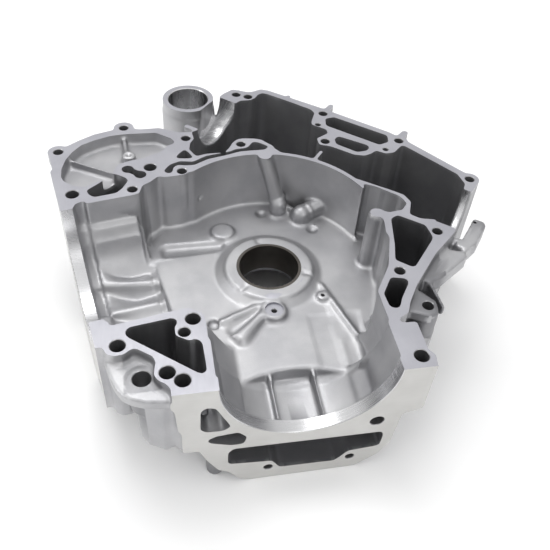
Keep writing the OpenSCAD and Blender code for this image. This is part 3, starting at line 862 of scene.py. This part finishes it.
@dataclass(frozen=True)
class Machining:
    """Machined faces, bores and drilled holes, in millimetres."""

    spigot_r: float = 49.5
    spigot_len: float = 8.0
    spigot_chamfer: float = 0.4
    seat_r: float = 22.5
    ring_r: float = 31.0
    boss_end: float = -26.0
    back_saddle: tuple[float, float, float, float] = (-26.0, 131.5, 23.5, 8.0)
    right_saddle: tuple[float, float, float, float] = (130.0, -1.0, 22.0, 10.0)
    shaft_turn: float = 140.5
    tube: tuple[float, float, float] = (-41.0, 154.0, 15.5)
    tube_chamfer: float = 0.6
    tap_face: Point = (-3, -39, -2.5)
    tap_face_r: float = 6.2
    deck_holes: tuple[tuple[float, float, float], ...] = ((42.5, -7, 4.25), (-20, -44, 2.75), (31, -44, 2.75))
    deck_hole_depth: float = 20.0
    deck_hole_chamfer: float = 0.3
    drillings: Drillings = Drillings()

    def prepare(self, skin: Skin) -> None:
        """Fills what the machining cuts again, so that it cuts into full metal."""
        for hole in self.drillings.holes():
            skin.fill_column(hole.x, hole.y, hole.diameter / 2 + 1.0, hole.top - hole.depth - 1.0, hole.top)
        skin.fill_column(0, 0, self.seat_r + 1.0, self.boss_end, 0.0)
        for out in (FRONT_OUT, PLANES.left_out()):
            rim = lying(out, self.spigot_r + 2.0, PLANES.deck - self.spigot_len, PLANES.deck)
            room = lying(out, self.spigot_r - 1.0, PLANES.deck - self.spigot_len - 3, PLANES.deck + 3)

            def strip(x: np.ndarray, y: np.ndarray, z: np.ndarray, rim: Distance = rim,
                      room: Distance = room) -> np.ndarray:
                """Rim without its room: the greater of one distance and the other turned inside out."""
                return np.maximum(np.maximum(rim(x, y, z), -room(x, y, z)), z - PLANES.split)

            skin.join(strip, (-150, -140, -20), (70, 60, PLANES.split), 0.1)

    def mill(self, cutting: Cutting) -> None:
        """Mills the split face and the two decks."""
        square = ((-190, -190), (190, -190), (190, 190), (-190, 190))
        cutting.take("split_cut", [box_over(square, PLANES.split, PLANES.split + 20)], Finish.MILLED)
        cutting.take("front_deck_cut", [slab(FRONT_OUT, PLANES.deck, 90, -70, 60)], Finish.DECK)
        cutting.take("left_deck_cut", [slab(PLANES.left_out(), PLANES.deck, 78, -70, 60)], Finish.DECK)

    def bore(self, cutting: Cutting) -> None:
        """Bores the spigot seats, the shaft saddles, the bearing seat with its ring, and the tube."""
        top, rim = PLANES.split, self.spigot_r + self.spigot_chamfer
        for name, out in (("front_spigot_cut", FRONT_OUT), ("left_spigot_cut", PLANES.left_out())):
            profile = [(self.spigot_r, PLANES.deck - self.spigot_len - 2.5),
                       (self.spigot_r, PLANES.deck - self.spigot_chamfer),
                       (rim, PLANES.deck), (rim, PLANES.deck + 5)]
            cutting.take(name, [turned(name, profile, (0.0, 0.0, top), tuple(out), 160)], Finish.BORED)
        turn = math.radians(self.shaft_turn)
        shaft = (math.cos(turn), math.sin(turn), 0.0)
        for name, (x, y, r, half) in (("back_saddle_cut", self.back_saddle),
                                      ("right_saddle_cut", self.right_saddle)):
            cutting.take(name, [turned(name, [(r, -half), (r, half)], (x, y, top), shaft, 96)], Finish.BORED)
        seat = [(self.seat_r, -45.0), (self.seat_r, 0.0), (self.ring_r, 0.0), (self.ring_r, 3.0)]
        cutting.take("seat_cut", [turned("seat", seat, (0, 0, 0), (0, 0, 1), 128)], Finish.MILLED)
        x, y, r = self.tube
        wide = r + self.tube_chamfer
        tube = [(r, -80.0), (r, -self.tube_chamfer), (wide, 0.0), (wide, 3.0)]
        cutting.take("tube_cut", [turned("tube", tube, (x, y, top), (0, 0, 1), 96)], Finish.BORED)

    def drill(self, cutting: Cutting) -> None:
        """Faces the tapped boss, and drills the upright holes and those of the front deck."""
        face = turned("boss", [(self.tap_face_r, 0.0), (self.tap_face_r, 6.0)], self.tap_face, (0, 0, 1))
        cutting.take("boss_cut", [face], Finish.MILLED)
        cutting.take("drill_cut", [hole.cutter() for hole in self.drillings.holes()], Finish.DRILLED)
        holes = []
        for x, z, r in self.deck_holes:
            wide = r + self.deck_hole_chamfer
            profile = [(r, PLANES.deck - self.deck_hole_depth), (r, PLANES.deck - self.deck_hole_chamfer),
                       (wide, PLANES.deck), (wide, PLANES.deck + 4)]
            holes.append(turned("stud", profile, (x, 0, z), (0, -1, 0), 32))
        cutting.take("deck_drill_cut", holes, Finish.DRILLED)

    def machine(self, cutting: Cutting) -> None:
        """Does all the machining, in order."""
        self.mill(cutting)
        self.bore(cutting)
        self.drill(cutting)


@dataclass(frozen=True)
class PaintedShade:
    """Painted shade: how dark the walls of each room are painted, standing in for the shade in these pockets,
    from none at zero to full at one.
    """

    gear_room: float = 0.3
    vee_pocket: float = 0.5
    web_pocket: float = 0.55
    cover_window: float = 0.4
    deck_pockets: float = 0.5
    rim: float = 0.3
    fade: float = 2.5

    def write(self, mesh: bpy.types.Mesh) -> None:
        """Writes the painted shade of each point of a mesh as an attribute.

        Formula: the greatest share of the rooms that hold the point, times its depth below the split face,
        which runs evenly from zero to one over the fade.

        Args:
            mesh: The casting's mesh.
        """
        co = np.empty(len(mesh.vertices) * 3, np.float32)
        mesh.vertices.foreach_get("co", co)
        x, y, z = (co.reshape(-1, 3) / MM).T
        radius = np.hypot(x, y)
        gear = (radius > 77.0) & (y + 0.55 * x > 62.0) & (x > -30.0)
        vee = (np.abs(x + 72.0) < 26.0) & (y < -72.0) & (y > -118.0) & (z > -12.0) & (radius > 88.0)
        web = (x > 54.0) & (y < -2.0) & (y > -86.0) & (radius > 78.0) & (x < 103.0)
        window = (x < -78.0) & (x > -121.0) & (y > 35.0) & (y < 68.0) & (z < 30.0)
        pockets = (y < -103.0) & (z < -16.0) & (np.abs(x) < 62.0) & (y > -126.9) & (radius > 100.0)
        rooms = ((self.gear_room, gear), (self.vee_pocket, vee), (self.web_pocket, web),
                 (self.cover_window, window), (self.deck_pockets, pockets))
        # Painted shade: darker deeper in each pocket, standing in for the shade that falls there.
        depth = np.clip((PLANES.split - self.rim - z) / self.fade, 0.0, 1.0)
        value = depth * np.maximum.reduce([share * room for share, room in rooms])
        layer = mesh.attributes.new("painted_shade", "FLOAT", "POINT")
        layer.data.foreach_set("value", value.astype(np.float32))


@dataclass
class Casting:
    """The crankcase half's casting."""

    voxel: float = 1.0
    band: float = 8.0
    margin: float = 8.0
    fillet: float = 2.0
    edge: float = 0.7
    faces: int = 185000
    sharp: float = 35.0
    left_mouth: LeftMouth = LeftMouth()
    front_mouth: FrontMouth = FrontMouth()
    floor: ChamberFloor = ChamberFloor()
    machining: Machining = Machining()
    # Painted shade for the recesses of the cast skin.
    painted_shade: PaintedShade = PaintedShade()

    def cast(self, node: bpy.types.Object) -> bpy.types.Object:
        """Makes the cast skin over the solid, before any machining.

        Args:
            node: The solid's object in the frame.

        Returns:
            The skin's object, thinned to about the wanted number of faces.
        """
        skin = Skin(node.data, self.voxel, self.band, self.margin)
        LOG.info("grid %s", skin.values.shape)
        self.machining.prepare(skin)
        self.left_mouth.shape(skin)
        self.front_mouth.shape(skin)
        self.floor.shape_relief(skin)
        self.floor.shape_domes(skin)
        skin.run_past_planes()
        skin.cast_rounding(self.fillet, self.edge)
        piece = skin.surface("crankcase_cast_body")
        LOG.info("cast skin: %d faces", len(piece.data.polygons))
        thin = piece.modifiers.new("thin", "DECIMATE")
        thin.ratio = min(1.0, self.faces / (2.0 * len(piece.data.polygons)))
        apply_modifiers(piece)
        return piece

    def build(self, node: bpy.types.Object) -> bpy.types.Object:
        """Builds the casting's visible mesh over its solid, machines it and dresses it.

        Args:
            node: The solid's object in the frame.

        Returns:
            The finished piece.
        """
        piece = self.cast(node)
        finishes = {one: metal.build() for one, metal in FINISHES.items()}
        for one in Finish:
            piece.data.materials.append(finishes[one])
        self.machining.machine(Cutting(piece, finishes))
        # Paints shade into the walls of the pockets.
        self.painted_shade.write(piece.data)
        piece.data.polygons.foreach_set("use_smooth", np.ones(len(piece.data.polygons), bool))
        piece.data.set_sharp_from_angle(angle=math.radians(self.sharp))
        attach(piece, "root")
        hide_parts("crankcase_casting")
        return piece


@dataclass
class Bush:
    """The plain bush in the main bearing."""

    finish: Metal = BUSH_FINISH

    def dress(self, node: bpy.types.Object) -> None:
        """Gives the bush's own solid its finish."""
        node.data.materials.clear()
        node.data.materials.append(self.finish.build())


@dataclass(frozen=True)
class Lamp:
    """One soft square lamp that faces the part, in metres and watts."""

    name: str
    place: Point
    size: float
    power: float

    def hang(self) -> None:
        """Adds the lamp to the scene."""
        data = bpy.data.lights.new(self.name, "AREA")
        data.size = self.size
        data.energy = self.power
        made = bpy.data.objects.new(self.name, data)
        made.location = self.place
        made.rotation_euler = (-Vector(self.place)).to_track_quat("-Z", "Y").to_euler()
        bpy.context.scene.collection.objects.link(made)


@dataclass(frozen=True)
class Studio:
    """Pale floor, soft lights and the camera, which stands where the photograph was taken from."""

    eye: Point = (-74.1, -327.9, 329.4)
    yaw: float = 13.54
    elevation: float = 45.13
    roll: float = -4.80
    lens: float = 44.51
    sensor: float = 36.0
    clip_start: float = 0.01
    floor_half: float = 3.0
    floor_gap: float = 0.0002
    floor_tone: float = 0.97
    floor_rough: float = 0.9
    sky_low: float = 0.42
    sky_high: float = 1.15
    lamps: tuple[Lamp, ...] = (Lamp("top_lamp", (-0.2, 0.5, 1.4), 0.7, 6.0),
                               Lamp("left_lamp", (-1.2, 0.1, 0.8), 0.5, 3.0),
                               Lamp("front_lamp", (0.5, -1.2, 0.9), 0.4, 2.0))

    def camera(self) -> None:
        """Places the camera: forward, right and down are turned from the yaw, elevation and roll."""
        yaw, rise, roll = (math.radians(v) for v in (self.yaw, self.elevation, self.roll))
        level = Vector((math.sin(yaw), math.cos(yaw), 0.0))
        side = Vector((math.cos(yaw), -math.sin(yaw), 0.0))
        forward = level * math.cos(rise) - Vector((0.0, 0.0, 1.0)) * math.sin(rise)
        under = forward.cross(side)
        right = math.cos(roll) * side + math.sin(roll) * under
        down = -math.sin(roll) * side + math.cos(roll) * under
        data = bpy.data.cameras.new("camera")
        data.lens = self.lens
        data.sensor_width = self.sensor
        data.clip_start = self.clip_start
        made = bpy.data.objects.new("camera", data)
        place = Matrix((right, -down, -forward)).transposed().to_4x4()
        place.translation = Vector(self.eye) * MM
        made.matrix_world = place
        bpy.context.scene.collection.objects.link(made)
        bpy.context.scene.camera = made

    def floor(self) -> None:
        """Lays the pale floor under the part."""
        low = PLANES.base * MM - self.floor_gap
        h = self.floor_half
        mesh = bpy.data.meshes.new("studio_floor")
        mesh.from_pydata([(-h, -h, low), (h, -h, low), (h, h, low), (-h, h, low)], [], [(0, 1, 2, 3)])
        made = bpy.data.objects.new("studio_floor", mesh)
        bpy.context.scene.collection.objects.link(made)
        paint = bpy.data.materials.new("studio_paper")
        paint.use_nodes = True
        shader = paint.node_tree.nodes["Principled BSDF"]
        tone = self.floor_tone
        shader.inputs["Base Color"].default_value = (tone, tone, tone, 1.0)
        shader.inputs["Roughness"].default_value = self.floor_rough
        mesh.materials.append(paint)

    def light(self) -> None:
        """Lights the part from a sky that brightens evenly from its edge to its top, and soft lamps."""
        world = bpy.data.worlds.new("studio_sky")
        world.use_nodes = True
        sky = world.node_tree.nodes["Background"]
        sky.inputs["Color"].default_value = (1.0, 1.0, 1.0, 1.0)
        tree = world.node_tree
        way, split = tree.nodes.new("ShaderNodeTexCoord"), tree.nodes.new("ShaderNodeSeparateXYZ")
        tree.links.new(way.outputs["Generated"], split.inputs["Vector"])
        strength = ranged(tree, split.outputs["Z"], (0.0, 1.0), (self.sky_low, self.sky_high))
        tree.links.new(strength, sky.inputs["Strength"])
        bpy.context.scene.world = world
        bpy.context.scene.view_settings.view_transform = "Standard"
        for lamp in self.lamps:
            lamp.hang()

    def build(self) -> None:
        """Sets up the whole studio."""
        self.camera()
        self.floor()
        self.light()


def main() -> None:
    """Builds the studio and both pieces, and reports each."""
    logging.basicConfig(level=logging.INFO, format="%(asctime)s %(name)s %(message)s")
    Studio().build()
    piece = Casting().build(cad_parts["crankcase_casting"])
    LOG.info("%s: %d faces", piece.name, len(piece.data.polygons))
    Bush().dress(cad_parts["main_bearing_bush"])
    LOG.info("main_bearing_bush dressed")


if __name__ == "__main__":
    main()
